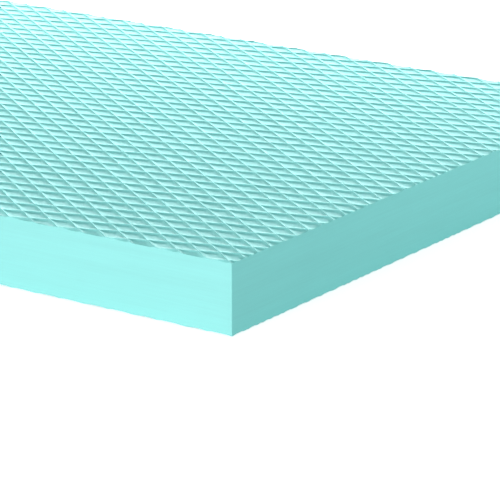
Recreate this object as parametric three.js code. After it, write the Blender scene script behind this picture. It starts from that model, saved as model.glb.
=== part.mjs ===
// Extruded polystyrene (XPS) insulation board with square-cut butt edges, lying flat.
// Units are millimetres, +Z up. X runs along the length, which is the direction of extrusion.
// The origin is the middle of the underside.
import * as THREE from "three";

// Driving dimensions
const BOARD_LENGTH = 1250; // along X
const BOARD_WIDTH = 600; // along Y
const BOARD_THICKNESS = 60; // along Z, measured over the crests of the embossed faces

// The foam's colour and finish
const FOAM_COLOUR = 0x96e6e2; // pale mint
const FOAM_ROUGHNESS = 0.75;

// The whole board is one piece of foam, sawn square on all four sides.
function insulationBoard() {
  const geometry = new THREE.BoxGeometry(BOARD_LENGTH, BOARD_WIDTH, BOARD_THICKNESS);
  const material = new THREE.MeshStandardMaterial({
    color: FOAM_COLOUR,
    roughness: FOAM_ROUGHNESS,
    metalness: 0,
  });
  const board = new THREE.Mesh(geometry, material);
  board.name = "insulation_board";
  board.position.z = BOARD_THICKNESS / 2;
  return board;
}

const part = new THREE.Group();
part.add(insulationBoard());

export default part;
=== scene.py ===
# Looks of the foam insulation board: the waffle embossed on its two large faces, the sawn
# edges, the foam's finish, and a plain studio. Metres, +Z up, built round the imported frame.
import math

import bmesh
import bpy
from mathutils import Matrix, Vector, noise


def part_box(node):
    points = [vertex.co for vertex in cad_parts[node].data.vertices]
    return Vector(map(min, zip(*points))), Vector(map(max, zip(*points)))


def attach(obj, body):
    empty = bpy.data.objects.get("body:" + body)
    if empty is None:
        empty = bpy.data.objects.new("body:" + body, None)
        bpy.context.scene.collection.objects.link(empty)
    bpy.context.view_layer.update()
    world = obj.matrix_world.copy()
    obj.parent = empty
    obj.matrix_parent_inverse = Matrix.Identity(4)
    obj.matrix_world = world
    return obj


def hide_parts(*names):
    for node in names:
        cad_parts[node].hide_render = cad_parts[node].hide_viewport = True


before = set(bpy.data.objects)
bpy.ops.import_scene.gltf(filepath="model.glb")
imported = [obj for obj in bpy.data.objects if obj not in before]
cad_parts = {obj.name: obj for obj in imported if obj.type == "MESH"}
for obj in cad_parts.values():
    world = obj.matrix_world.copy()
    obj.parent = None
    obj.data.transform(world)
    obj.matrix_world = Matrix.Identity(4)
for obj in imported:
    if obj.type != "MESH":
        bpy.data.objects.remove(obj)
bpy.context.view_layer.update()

BOARD_NODE = "insulation_board"
MM = 0.001

# The board, from the frame
LOW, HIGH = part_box(BOARD_NODE)
HALF_LENGTH = (HIGH.x - LOW.x) / 2
HALF_WIDTH = (HIGH.y - LOW.y) / 2
NEAR_TOP_CORNER = Vector((HIGH.x, LOW.y, HIGH.z))

# The waffle: diamonds whose long diagonal lies roughly along the board
DIAMOND_EDGE_U = Vector((15.5, 6.3)) * MM  # one edge of a diamond, seen from above
DIAMOND_EDGE_V = Vector((-17.9, 13.1)) * MM  # its other edge
WAFFLE_START = (0.905, 0.129)  # the pattern's shift along the two edges, in shares of them
TOP_DEPTH = 1.0 * MM  # from the ridges round a diamond to its floor
UNDERSIDE_DEPTH = 0.7 * MM
DISH_POWER = 4.2  # 2 is a round dish, more is flatter in the middle and steeper at the ridges
TOP_STATIONS = (0.0, 0.07, 0.2, 0.8, 0.93)  # where mesh lines cross a diamond, in shares of it
UNDERSIDE_STATIONS = (0.0, 0.2, 0.8)

# The unevenness of a pressed pattern
WANDER = 0.35 * MM  # how far a ridge strays from its line
WANDER_REACH = 25.0 * MM  # the distance over which it strays
WANDER_LAYER = Vector((0.0, 0.0, 9.1))  # where the noise is read for straying along Y
SAG = 0.12 * MM  # how much a face sinks and rises over a hand's breadth
SAG_REACH = 90.0 * MM
SAG_LAYER = 0.7  # where the noise is read for the sag
DISH_CHANGE = 0.12 * MM  # how much one diamond's depth differs from the next
DISH_STEP = 0.73  # how far apart in the noise two neighbouring diamonds are read
DISH_ORIGIN = (0.31, 0.17, 4.5)  # where in the noise the first diamond is read
SPARE_DIAMONDS = 2  # how many an untrimmed face has beyond the board

# The sawn edges
ARRIS = 0.5 * MM  # how wide an edge is broken
ARRIS_DROP = 0.25 * MM  # how deep it is broken
TOUCHING = 0.01 * MM  # closer than this, a point lies on a plane

# The sawn sides' place in the list of the board's materials, after the embossed skin
CUT_SLOT = 1

# The attribute that holds each point's place in the waffle: whole numbers are ridges
LATTICE = "lattice"

# The camera, at the photograph's viewing angle
FRAME_PIXELS = 500
SENSOR_WIDTH = 36.0  # millimetres
CAMERA_LENS = 246.0  # millimetres
CAMERA_AZIMUTH = math.radians(34.8)  # 0 looks along +Y, 90 degrees along -X
CAMERA_ELEVATION = math.radians(17.15)
CORNER_PIXEL = (231.6, 262.6)  # where the near top corner shows
CORNER_DEPTH = 2.613  # metres in front of the camera

# The foam itself
FOAM_COLOUR = (0.29, 0.80, 0.775)
EVEN = (1.0, 1.0, 1.0)  # noise that isn't drawn out along any axis
CELL_RANGE = (0.3, 0.7)  # what the cells' noise gives, from smooth places to rough ones

# The embossed skin
SKIN_ROUGHNESS = (0.50, 0.63)  # in its smoothest and its roughest places
SKIN_GLOSS = 0.16  # its specular level
GLOSS_TINT = (0.4, 1.0, 1.0, 1.0)  # the colour that it gives its own shine
SKIN_RELIEF = 2.3 * MM  # how deep its shading makes the dishes, on top of the mesh's own depth
RIDGE_HIGHLIGHT_HALF_WIDTH = 0.10  # half the width of the painted highlight along a ridge, in shares of a diamond
RIDGE_HIGHLIGHT = 0.04  # how much paler the painted highlight makes the ridge's line
DIAMOND_TONES = (0.97, 1.03)  # the darkest and the palest diamond
SKIN_GRAIN = 0.14 * MM  # the depth of its fibres and cells
FIBRE_STRETCH = (6.0, 1.0, 1.0)  # the fibres run along the board
FIBRE_SPACING = 1.1 * MM
FIBRE_RANGE = (0.2, 0.8)  # what their noise gives, from smooth places to rough ones
FIBRE_SHARE = 0.7  # how strong they are beside the cells

# The sawn foam
CUT_ROUGHNESS = (0.67, 0.77)
CUT_RELIEF = 0.06 * MM
BAND_STRETCH = (16.0, 16.0, 1.0)  # the bands and lines run level along a side
BAND_BEND = 0.2  # how much a band wavers
BAND_RANGE = (0.25, 0.6)  # what their noise gives, from a dark band to a pale one
BAND_TONES = (0.97, 1.0)
LINE_STRETCH = (45.0, 45.0, 1.0)
LINE_RANGE = (0.3, 0.7)
LINE_TONES = (0.985, 1.015)

# The floor and the sky
FLOOR_COLOUR = (0.92, 0.92, 0.92)
FLOOR_ROUGHNESS = 0.9
FLOOR_HALF = 12.0  # metres
FLOOR_GLOW = 0.65  # what the white floor gives the camera on top of its own light
SKY_COLOUR = (0.78, 1.0, 1.0)
SKY_STRENGTH = 0.37

# The lamps, in metres, degrees and watts, each placed as seen from where it aims
FRONT_DISTANCE = 0.2  # where key and fill aim: this far behind the near top corner
FAR_DISTANCE = 0.78  # where the strip aims: this far behind it, just past the far long side
SOFTBOX_SIZE = (0.6, 0.4)
SOFTBOX_DISTANCE = 3.0
KEY_BEARING, KEY_RISE, KEY_POWER = 35, 4, 66.0
FILL_BEARING, FILL_RISE, FILL_POWER = 305, 8, 21.0
STRIP_SIZE = (2.0, 0.25)
STRIP_DISTANCE = 0.6
STRIP_BEARING, STRIP_RISE, STRIP_POWER = 188, 28, 23.0
WARM = (1.0, 0.84, 0.84)  # the key's colour
WHITE = (1.0, 1.0, 1.0)  # the fill's colour
COOL = (0.90, 1.0, 1.0)  # the strip's colour


def spread(position, stations):
    """Moves an evenly spaced mesh line to its own station within its diamond."""
    count = len(stations)
    step = round(position * count)
    return step // count + stations[step % count]


def arch(position):
    """0 on a ridge and 1 on the middle line between two ridges."""
    across = abs(2 * (position % 1.0) - 1)
    return 1 - across**DISH_POWER


def dish_change(u, v):
    """How much deeper the dish at u, v is than the shallowest, from 0 to 1."""
    start_u, start_v, layer = DISH_ORIGIN
    place_u = math.floor(u) * DISH_STEP + start_u
    place_v = math.floor(v) * DISH_STEP + start_v
    return (noise.noise(Vector((place_u, place_v, layer))) + 1) / 2


def waffle_drop(u, v, x, y, depth):
    """How far the face lies below the board's full thickness at lattice position u, v."""
    dish = arch(u) * arch(v)
    uneven = DISH_CHANGE * dish * dish_change(u, v)
    sag = SAG * (noise.noise(Vector((x, y, SAG_LAYER)) / SAG_REACH) + 1) / 2
    return depth * dish + uneven + sag


def strayed(x, y):
    """The place to which a point of the even pattern strays."""
    place = Vector((x, y, 0.0)) / WANDER_REACH
    return (
        x + WANDER * noise.noise(place),
        y + WANDER * noise.noise(place + WANDER_LAYER),
    )


def lattice_reach(edge, other):
    """How many diamonds it takes along one edge to pass the board's corners from its middle."""
    area = abs(edge.cross(other))
    reach = (HALF_LENGTH * abs(other.y) + HALF_WIDTH * abs(other.x)) / area
    return math.ceil(reach) + SPARE_DIAMONDS


def sharpen_ridges(sheet, ridges_u, ridges_v):
    """Shades the dishes smooth and leaves the ridges between them sharp."""
    for face in sheet.faces:
        face.smooth = True
    for edge in sheet.edges:
        ends = set(edge.verts)
        edge.smooth = not (ends <= ridges_u or ends <= ridges_v)


def waffle_sheet(stations, depth):
    """An embossed face, larger than the board, with its ridges near z = 0."""
    reach_u = lattice_reach(DIAMOND_EDGE_U, DIAMOND_EDGE_V)
    reach_v = lattice_reach(DIAMOND_EDGE_V, DIAMOND_EDGE_U)
    count = 2 * len(stations)
    sheet = bmesh.new()
    bmesh.ops.create_grid(sheet, x_segments=reach_u * count, y_segments=reach_v * count, size=1)
    lattice = sheet.verts.layers.float_vector.new(LATTICE)
    ridges_u, ridges_v = set(), set()
    for vert in sheet.verts:
        u, v = spread(vert.co.x * reach_u, stations), spread(vert.co.y * reach_v, stations)
        vert[lattice] = Vector((u, v, 0))
        if u == round(u):
            ridges_u.add(vert)
        if v == round(v):
            ridges_v.add(vert)
        along_u = DIAMOND_EDGE_U * (u + WAFFLE_START[0])
        along_v = DIAMOND_EDGE_V * (v + WAFFLE_START[1])
        x, y = along_u + along_v
        vert.co = (*strayed(x, y), -waffle_drop(u, v, x, y, depth))
    sharpen_ridges(sheet, ridges_u, ridges_v)
    return sheet


def side_planes():
    """The four sides, each as a point on it and its outward direction."""
    return [
        (Vector((sign * HALF_LENGTH, 0, 0)), Vector((sign, 0, 0))) for sign in (-1, 1)
    ] + [
        (Vector((0, sign * HALF_WIDTH, 0)), Vector((0, sign, 0))) for sign in (-1, 1)
    ]


def corner_planes():
    """The four upright corners where the arris is broken, given as the sides are."""
    return [
        (
            Vector((sx * (HALF_LENGTH - ARRIS / 2), sy * (HALF_WIDTH - ARRIS / 2), 0)),
            Vector((sx, sy, 0)).normalized(),
        )
        for sx in (-1, 1)
        for sy in (-1, 1)
    ]


def cut(sheet, point, outward, clear):
    """Cuts a sheet along a plane, and takes away what lies outside if clear is true."""
    bmesh.ops.bisect_plane(
        sheet,
        geom=sheet.verts[:] + sheet.edges[:] + sheet.faces[:],
        plane_co=point,
        plane_no=outward,
        clear_outer=clear,
    )


def trimmed(sheet):
    """Trims a sheet to the board's outline and breaks its rim."""
    for point, outward in side_planes() + corner_planes():
        cut(sheet, point, outward, clear=True)
    for point, outward in side_planes():
        cut(sheet, point - outward * ARRIS, outward, clear=False)
    bmesh.ops.remove_doubles(sheet, verts=sheet.verts, dist=TOUCHING)
    for vert in sheet.verts:
        if vert.is_boundary:
            vert.co.z -= ARRIS_DROP
    return sheet


def joined(*sheets):
    """One bmesh with all the sheets in it."""
    whole = bmesh.new()
    for sheet in sheets:
        mesh = bpy.data.meshes.new("sheet")
        sheet.to_mesh(mesh)
        sheet.free()
        whole.from_mesh(mesh)
        bpy.data.meshes.remove(mesh)
    return whole


def lies_on(vert, plane):
    """True if a vertex lies on an upright plane."""
    point, outward = plane
    return abs((vert.co - point).dot(outward)) < TOUCHING


def add_uprights(board, planes):
    """Joins the two faces' rims where two planes of the outline meet."""
    rim = [vert for vert in board.verts if vert.is_boundary]
    ends = [vert for vert in rim if sum(lies_on(vert, plane) for plane in planes) == 2]
    middle = (LOW.z + HIGH.z) / 2
    uppers = [vert for vert in ends if vert.co.z > middle]
    lowers = [vert for vert in ends if vert.co.z < middle]
    for upper in uppers:
        lower = min(lowers, key=lambda vert: (vert.co - upper.co).xy.length)
        board.edges.new((upper, lower))


def add_walls(board):
    """Fills each side and each broken corner with one flat face."""
    planes = side_planes() + corner_planes()
    add_uprights(board, planes)
    open_edges = [edge for edge in board.edges if len(edge.link_faces) < 2]
    for plane in planes:
        loop = [edge for edge in open_edges if all(lies_on(vert, plane) for vert in edge.verts)]
        made = bmesh.ops.edgeloop_fill(board, edges=loop, mat_nr=CUT_SLOT, use_smooth=False)
        assert len(made["faces"]) == 1, "each wall is one closed loop"


def foam_board():
    """The whole board: two embossed faces and the sawn sides between them."""
    top = trimmed(waffle_sheet(TOP_STATIONS, TOP_DEPTH))
    top.transform(Matrix.Translation((0, 0, HIGH.z)))
    underside = trimmed(waffle_sheet(UNDERSIDE_STATIONS, UNDERSIDE_DEPTH))
    underside.transform(Matrix.Translation((0, 0, LOW.z)) @ Matrix.Rotation(math.pi, 4, "X"))
    board = joined(top, underside)
    add_walls(board)
    bmesh.ops.recalc_face_normals(board, faces=board.faces)
    return board


def placed(name, made, materials):
    """An object at the origin with the bmesh as its mesh."""
    mesh = bpy.data.meshes.new(name)
    made.to_mesh(mesh)
    made.free()
    for material in materials:
        mesh.materials.append(material)
    piece = bpy.data.objects.new(name, mesh)
    bpy.context.scene.collection.objects.link(piece)
    return piece


def add_node(tree, kind, **options):
    """Adds a shader node and sets its options."""
    node = tree.nodes.new(kind)
    for name, value in options.items():
        setattr(node, name, value)
    return node


def feed(tree, socket, value):
    """Gives a socket a number, a vector or another node's output."""
    if isinstance(value, bpy.types.NodeSocket):
        tree.links.new(value, socket)
    else:
        socket.default_value = value


def calculated(tree, operation, *values):
    """The result of a math node."""
    node = add_node(tree, "ShaderNodeMath", operation=operation)
    for socket, value in zip(node.inputs, values):
        feed(tree, socket, value)
    return node.outputs["Value"]


def scaled(tree, vector, factor):
    """A vector or colour times a value."""
    node = add_node(tree, "ShaderNodeVectorMath", operation="SCALE")
    feed(tree, node.inputs["Vector"], vector)
    feed(tree, node.inputs["Scale"], factor)
    return node.outputs["Vector"]


def remapped(tree, value, low, high, to_low, to_high):
    """A value's stretch from low to high, moved to another one and held at its ends."""
    node = add_node(tree, "ShaderNodeMapRange")
    for socket, item in zip(node.inputs, (value, low, high, to_low, to_high)):
        feed(tree, socket, item)
    return node.outputs["Result"]


def noise_value(tree, position, stretch, spacing, detail=2.0, distortion=0.0):
    """Noise with features spacing wide, drawn out along each axis by stretch."""
    squeeze = add_node(tree, "ShaderNodeVectorMath", operation="DIVIDE")
    feed(tree, squeeze.inputs[0], position)
    feed(tree, squeeze.inputs[1], stretch)
    pattern = add_node(tree, "ShaderNodeTexNoise")
    feed(tree, pattern.inputs["Vector"], squeeze.outputs["Vector"])
    feed(tree, pattern.inputs["Scale"], calculated(tree, "DIVIDE", 1.0, spacing))
    feed(tree, pattern.inputs["Detail"], detail)
    feed(tree, pattern.inputs["Distortion"], distortion)
    return pattern.outputs["Fac"]


def new_group(name, vectors, values, results):
    """A node group with named vector and value inputs and named value outputs."""
    group = bpy.data.node_groups.new(name, "ShaderNodeTree")
    for label in vectors:
        group.interface.new_socket(name=label, in_out="INPUT", socket_type="NodeSocketVector")
    for label, default in values.items():
        made = group.interface.new_socket(name=label, in_out="INPUT", socket_type="NodeSocketFloat")
        made.default_value = default
    for label in results:
        group.interface.new_socket(name=label, in_out="OUTPUT", socket_type="NodeSocketFloat")
    given = add_node(group, "NodeGroupInput").outputs
    wanted = add_node(group, "NodeGroupOutput").inputs
    return group, given, wanted


def swing(tree, pattern, change):
    """How far a noise swings from its middle, times change."""
    return calculated(tree, "MULTIPLY", calculated(tree, "SUBTRACT", pattern, 0.5), change)


def foam_body_group():
    """What all the foam shows: slow changes of tone, and the fine closed cells."""
    group, given, wanted = new_group(
        "foam_body",
        vectors=["Position"],
        values={"Patch Size": 0.06, "Patch Change": 0.03, "Cell Size": 0.0008, "Cell Change": 0.03},
        results=["Tone", "Cells"],
    )
    patches = noise_value(group, given["Position"], EVEN, given["Patch Size"], detail=3.0)
    cells = noise_value(group, given["Position"], EVEN, given["Cell Size"], detail=1.0)
    patch = swing(group, patches, given["Patch Change"])
    cell = swing(group, cells, given["Cell Change"])
    both = calculated(group, "ADD", patch, cell)
    feed(group, wanted["Tone"], calculated(group, "ADD", both, 1.0))
    feed(group, wanted["Cells"], cells)
    return group


def long_marks_group():
    """The marks that a saw leaves level along a side: broad bands and fine lines."""
    group, given, wanted = new_group(
        "long_marks",
        vectors=["Position"],
        values={"Band Spacing": 0.014, "Line Spacing": 0.0012},
        results=["Bands", "Lines"],
    )
    position = given["Position"]
    bands = noise_value(group, position, BAND_STRETCH, given["Band Spacing"], 1.0, BAND_BEND)
    lines = noise_value(group, position, LINE_STRETCH, given["Line Spacing"])
    feed(group, wanted["Bands"], bands)
    feed(group, wanted["Lines"], lines)
    return group


def placed_group(tree, group, vector, **values):
    """Places a node group in a material, with its vector input and its own values."""
    node = add_node(tree, "ShaderNodeGroup", node_tree=group)
    feed(tree, node.inputs["Position"], vector)
    for label, value in values.items():
        node.inputs[label.replace("_", " ")].default_value = value
    return node.outputs


def new_material(name):
    """A new material, with its node tree and its Principled BSDF."""
    material = bpy.data.materials.new(name)
    material.use_nodes = True
    return material, material.node_tree, material.node_tree.nodes["Principled BSDF"]


def raised(tree, shader, height, distance):
    """Turns a height from 0 to 1 into fine relief, distance metres deep."""
    bump = add_node(tree, "ShaderNodeBump")
    bump.inputs["Distance"].default_value = distance
    feed(tree, bump.inputs["Height"], height)
    feed(tree, shader.inputs["Normal"], bump.outputs["Normal"])


def from_line(tree, place):
    """How far a lattice position is from the nearest whole number."""
    share = calculated(tree, "FRACT", place)
    from_middle = calculated(tree, "ABSOLUTE", calculated(tree, "SUBTRACT", share, 0.5))
    return calculated(tree, "SUBTRACT", 0.5, from_middle)


def arched(tree, place):
    """0 on a ridge and 1 on the middle line between two ridges, as arch is for the mesh."""
    across = calculated(tree, "MULTIPLY_ADD", from_line(tree, place), -2.0, 1.0)
    return calculated(tree, "SUBTRACT", 1.0, calculated(tree, "POWER", across, DISH_POWER))


def diamond_tone(tree, lattice):
    """One steady tone for each diamond, a little different from the next."""
    cell = add_node(tree, "ShaderNodeVectorMath", operation="FLOOR")
    feed(tree, cell.inputs[0], lattice)
    change = add_node(tree, "ShaderNodeTexWhiteNoise")
    feed(tree, change.inputs["Vector"], cell.outputs["Vector"])
    return remapped(tree, change.outputs["Value"], 0.0, 1.0, *DIAMOND_TONES)


def skin_material(foam_body):
    """The embossed faces: a smooth dense skin, with a painted highlight along the ridges between
    its dishes.
    """
    material, tree, shader = new_material("embossed_skin")
    shader.inputs["Specular IOR Level"].default_value = SKIN_GLOSS
    shader.inputs["Specular Tint"].default_value = GLOSS_TINT
    position = add_node(tree, "ShaderNodeTexCoord").outputs["Object"]
    body = placed_group(
        tree, foam_body, position, Patch_Change=0.05, Cell_Size=0.0022, Cell_Change=0.16
    )
    lattice = add_node(tree, "ShaderNodeAttribute", attribute_name=LATTICE).outputs["Vector"]
    place = add_node(tree, "ShaderNodeSeparateXYZ")
    feed(tree, place.inputs["Vector"], lattice)
    place_u, place_v = place.outputs["X"], place.outputs["Y"]
    nearest = calculated(tree, "MINIMUM", from_line(tree, place_u), from_line(tree, place_v))
    # Painted highlight: the base colour is made paler along the ridges, standing in for light that
    # catches them
    ridge_highlight = remapped(tree, nearest, 0.0, RIDGE_HIGHLIGHT_HALF_WIDTH, RIDGE_HIGHLIGHT, 0.0)
    each = calculated(tree, "MULTIPLY", body["Tone"], diamond_tone(tree, lattice))
    tone = calculated(tree, "ADD", each, ridge_highlight)
    feed(tree, shader.inputs["Base Color"], scaled(tree, FOAM_COLOUR, tone))
    fibres = noise_value(tree, position, FIBRE_STRETCH, FIBRE_SPACING)
    strands = calculated(tree, "MULTIPLY", fibres, FIBRE_SHARE)
    grain = calculated(tree, "ADD", strands, body["Cells"])
    dish = calculated(tree, "MULTIPLY", arched(tree, place_u), arched(tree, place_v))
    above = calculated(tree, "SUBTRACT", 1.0, dish)
    height = calculated(tree, "MULTIPLY_ADD", grain, SKIN_GRAIN / SKIN_RELIEF, above)
    raised(tree, shader, height, SKIN_RELIEF)
    roughness = remapped(tree, fibres, *FIBRE_RANGE, *SKIN_ROUGHNESS)
    feed(tree, shader.inputs["Roughness"], roughness)
    return material


def cut_material(foam_body, long_marks):
    """The sawn sides: open cells, faint level saw lines and soft long bands."""
    material, tree, shader = new_material("cut_foam")
    position = add_node(tree, "ShaderNodeTexCoord").outputs["Object"]
    body = placed_group(tree, foam_body, position, Cell_Change=0.04)
    marks = placed_group(tree, long_marks, position)
    band = remapped(tree, marks["Bands"], *BAND_RANGE, *BAND_TONES)
    line = remapped(tree, marks["Lines"], *LINE_RANGE, *LINE_TONES)
    banded = calculated(tree, "MULTIPLY", body["Tone"], band)
    tone = calculated(tree, "MULTIPLY", banded, line)
    feed(tree, shader.inputs["Base Color"], scaled(tree, FOAM_COLOUR, tone))
    height = calculated(tree, "ADD", body["Cells"], marks["Lines"])
    raised(tree, shader, height, CUT_RELIEF)
    roughness = remapped(tree, body["Cells"], *CELL_RANGE, *CUT_ROUGHNESS)
    feed(tree, shader.inputs["Roughness"], roughness)
    return material


def floor_material():
    """A white floor that stays white in the picture however little light falls on it."""
    material, tree, shader = new_material("pale_floor")
    shader.inputs["Base Color"].default_value = (*FLOOR_COLOUR, 1)
    shader.inputs["Roughness"].default_value = FLOOR_ROUGHNESS
    shader.inputs["Emission Color"].default_value = (1, 1, 1, 1)
    seen = add_node(tree, "ShaderNodeLightPath").outputs["Is Camera Ray"]
    feed(tree, shader.inputs["Emission Strength"], calculated(tree, "MULTIPLY", seen, FLOOR_GLOW))
    return material


def add_sky():
    """A soft even sky, which the camera sees as plain white."""
    world = bpy.data.worlds.new("studio")
    world.use_nodes = True
    tree = world.node_tree
    sky = tree.nodes["Background"]
    sky.inputs["Color"].default_value = (*SKY_COLOUR, 1)
    sky.inputs["Strength"].default_value = SKY_STRENGTH
    white = add_node(tree, "ShaderNodeBackground")
    white.inputs["Color"].default_value = (1, 1, 1, 1)
    either = add_node(tree, "ShaderNodeMixShader")
    feed(tree, either.inputs["Fac"], add_node(tree, "ShaderNodeLightPath").outputs["Is Camera Ray"])
    feed(tree, either.inputs[1], sky.outputs["Background"])
    feed(tree, either.inputs[2], white.outputs["Background"])
    feed(tree, tree.nodes["World Output"].inputs["Surface"], either.outputs["Shader"])
    bpy.context.scene.world = world


def area_light(name, place, aim, size, power, colour):
    """A softbox that faces its aim and that the camera doesn't see."""
    lamp = bpy.data.lights.new(name, "AREA")
    lamp.shape = "RECTANGLE"
    lamp.size, lamp.size_y = size
    lamp.energy = power
    lamp.color = colour
    light = bpy.data.objects.new(name, lamp)
    light.location = place
    light.rotation_euler = (aim - place).to_track_quat("-Z", "Y").to_euler()
    light.visible_camera = False
    bpy.context.scene.collection.objects.link(light)


def camera_axes():
    """The camera's own right, up and forward directions."""
    level = Vector((-math.sin(CAMERA_AZIMUTH), math.cos(CAMERA_AZIMUTH), 0))
    down = Vector((0, 0, -1))
    forward = level * math.cos(CAMERA_ELEVATION) + down * math.sin(CAMERA_ELEVATION)
    right = level.cross(Vector((0, 0, 1)))
    return right, right.cross(forward), forward


def add_camera():
    """A long lens that shows the near top corner where the photograph has it."""
    right, up, forward = camera_axes()
    focal = CAMERA_LENS / SENSOR_WIDTH * FRAME_PIXELS
    across = (CORNER_PIXEL[0] - FRAME_PIXELS / 2) / focal * CORNER_DEPTH
    below = (CORNER_PIXEL[1] - FRAME_PIXELS / 2) / focal * CORNER_DEPTH
    lens = bpy.data.cameras.new("camera")
    lens.lens = CAMERA_LENS
    lens.sensor_width = SENSOR_WIDTH
    camera = bpy.data.objects.new("camera", lens)
    camera.location = NEAR_TOP_CORNER - right * across + up * below - forward * CORNER_DEPTH
    camera.rotation_euler = forward.to_track_quat("-Z", "Y").to_euler()
    bpy.context.scene.collection.objects.link(camera)
    bpy.context.scene.camera = camera


def add_floor():
    """A wide pale floor under the board."""
    made = bmesh.new()
    bmesh.ops.create_grid(made, x_segments=1, y_segments=1, size=FLOOR_HALF)
    placed("floor", made, [floor_material()])


def lamp_place(aim, bearing, elevation, distance):
    """A place seen from the aim: bearing 0 is towards the camera, 90 to the picture's left."""
    right, _, forward = camera_axes()
    ahead = Vector((forward.x, forward.y, 0)).normalized()
    turn, lift = math.radians(bearing), math.radians(elevation)
    level = -ahead * math.cos(turn) - right * math.sin(turn)
    return aim + (level * math.cos(lift) + Vector((0, 0, math.sin(lift)))) * distance


def behind_corner(distance):
    """The place this far behind the near top corner, level with it, as the camera looks."""
    return lamp_place(NEAR_TOP_CORNER, 180, 0, distance)


def add_lights():
    """A low key from the left, a weaker low fill from the right, and a close strip behind."""
    front = behind_corner(FRONT_DISTANCE)
    far = behind_corner(FAR_DISTANCE)
    key = lamp_place(front, KEY_BEARING, KEY_RISE, SOFTBOX_DISTANCE)
    fill = lamp_place(front, FILL_BEARING, FILL_RISE, SOFTBOX_DISTANCE)
    strip = lamp_place(far, STRIP_BEARING, STRIP_RISE, STRIP_DISTANCE)
    area_light("key", key, front, SOFTBOX_SIZE, KEY_POWER, WARM)
    area_light("fill", fill, front, SOFTBOX_SIZE, FILL_POWER, WHITE)
    area_light("strip", strip, far, STRIP_SIZE, STRIP_POWER, COOL)


bpy.context.scene.view_settings.view_transform = "Standard"
add_camera()
add_floor()
add_sky()
add_lights()
foam_body = foam_body_group()
materials = [skin_material(foam_body), cut_material(foam_body, long_marks_group())]
board = placed("foam_board", foam_board(), materials)
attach(board, "root")
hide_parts(BOARD_NODE)
